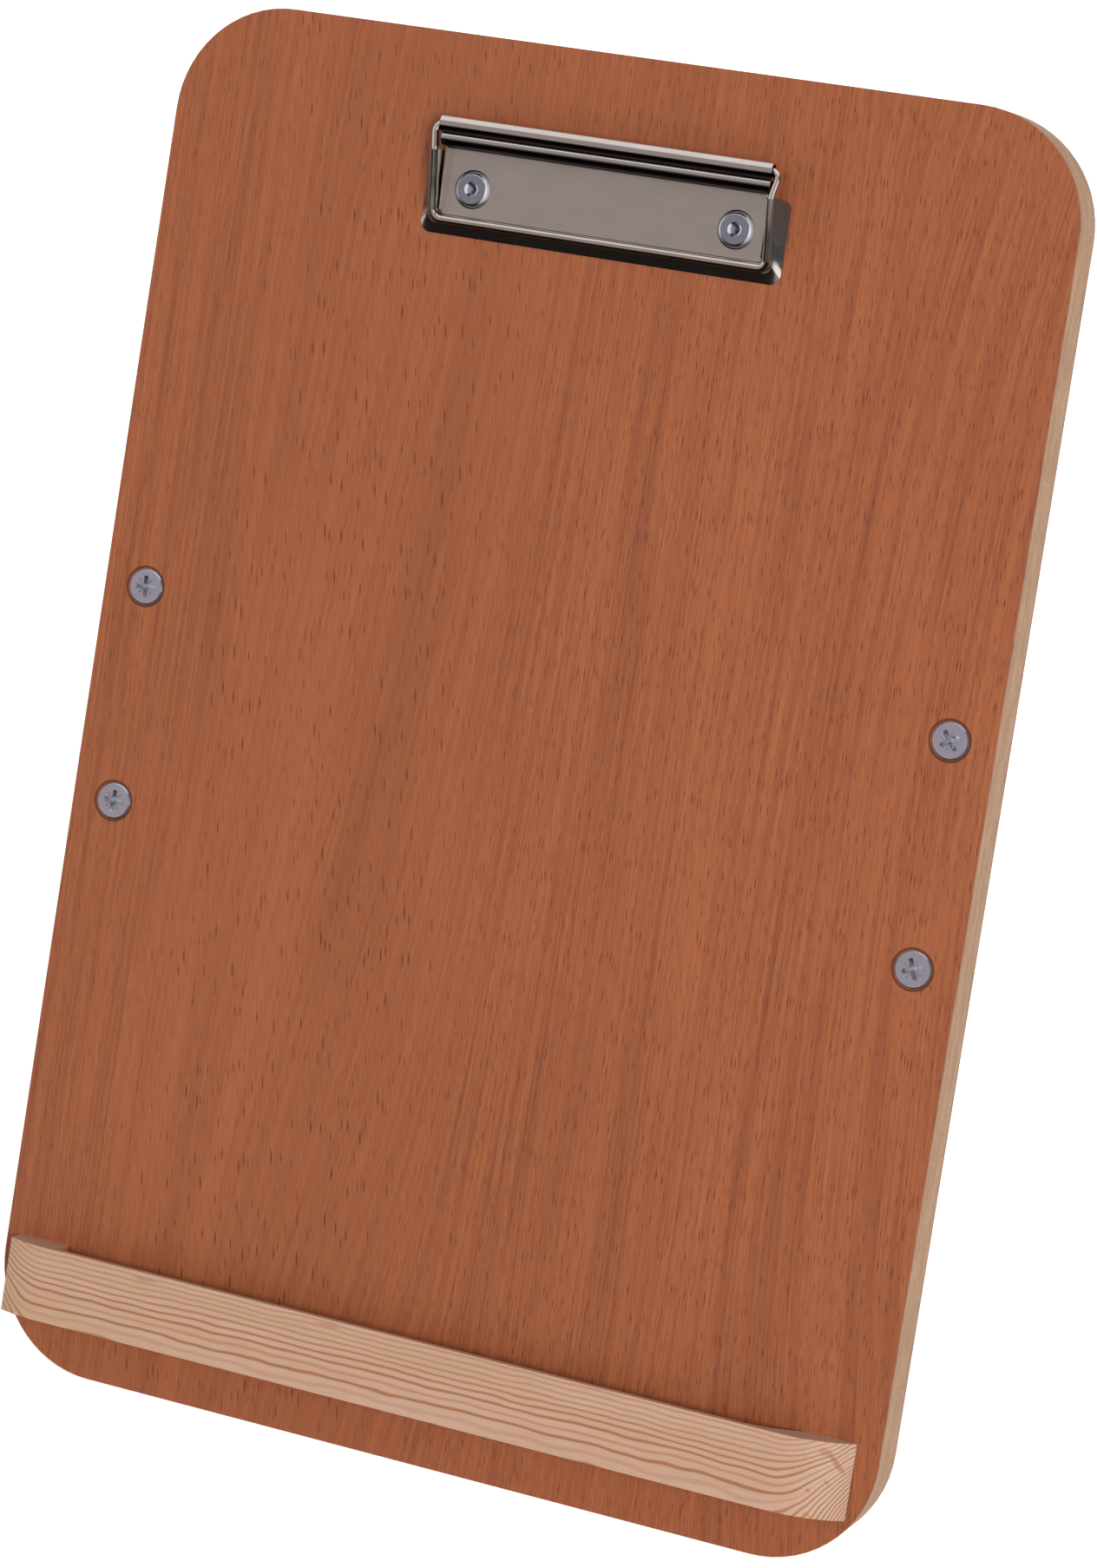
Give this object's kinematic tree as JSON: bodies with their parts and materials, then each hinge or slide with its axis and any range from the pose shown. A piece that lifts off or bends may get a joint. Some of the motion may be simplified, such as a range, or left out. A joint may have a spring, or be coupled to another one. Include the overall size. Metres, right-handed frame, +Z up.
{
  "type": "document holder",
  "caption": "Leaning wooden document board with a wire-spring clip at the top, a pine ledge at the foot and a hinged strut behind, standing on a desk.",
  "frame": {"origin": "middle of the board's flat foot, on the surface that it stands on", "axes": "+Z up, -Y towards the reader, +X to the reader's right; the board leans back from its foot towards +Y"},
  "size_m": [0.25, 0.1735, 0.3408],
  "materials": {
    "beech_face": "satin beech decor laminate with vertical grain",
    "pale_core": "bare pale edge",
    "beech_back": "satin beech decor laminate",
    "rail_pine": "planed pine",
    "ledge_pine": "planed pine with orange-brown rings",
    "strut_pine": "planed pine",
    "zinc_screw": "satin blue zinc",
    "brass_screw": "satin",
    "brass_leaf": "satin",
    "steel_pin": "bright",
    "nickel": "nickel plate",
    "nickel_wire": "nickel plate",
    "rivet_steel": "satin zinc"
  },
  "bodies": {
    "stand": {"front_laminate": "beech_face", "board_core": "pale_core", "back_laminate": "beech_back", "cross_rail": "rail_pine", "ledge": "ledge_pine", "ledge_screws": "zinc_screw", "hinge_rail_screws": "brass_screw", "clip_base_plate": "nickel", "rail_screw_upper_left": "zinc_screw", "rail_screw_lower_left": "zinc_screw", "rail_screw_upper_right": "zinc_screw", "rail_screw_lower_right": "zinc_screw", "hinge_rail_leaf_left": "brass_leaf", "hinge_pin_left": "steel_pin", "rivet_left": "rivet_steel", "rivet_washer_left": "rivet_steel", "hinge_rail_leaf_right": "brass_leaf", "hinge_pin_right": "steel_pin", "rivet_right": "rivet_steel", "rivet_washer_right": "rivet_steel"},
    "strut": {"strut": "strut_pine", "hinge_strut_leaf_left": "brass_leaf", "hinge_strut_leaf_right": "brass_leaf", "hinge_strut_screws": "brass_screw"},
    "clip_jaw": {"clip_jaw_frame": "nickel", "clip_wire": "nickel_wire"}
  },
  "joints": [
    {"name": "strut_hinge", "type": "hinge", "parent": "stand", "child": "strut", "pos_m": [0, 0.10309, 0.17132], "axis": [-1, 0, 0], "range_deg": [0, 39]},
    {"name": "clip_hinge", "type": "hinge", "parent": "stand", "child": "clip_jaw", "pos_m": [0, 0.12749, 0.32126], "axis": [-1, 0, 0], "range_deg": [0, 60], "stiffness_Nm_per_rad": 0.1, "springref_deg": -57.3}
  ]
}
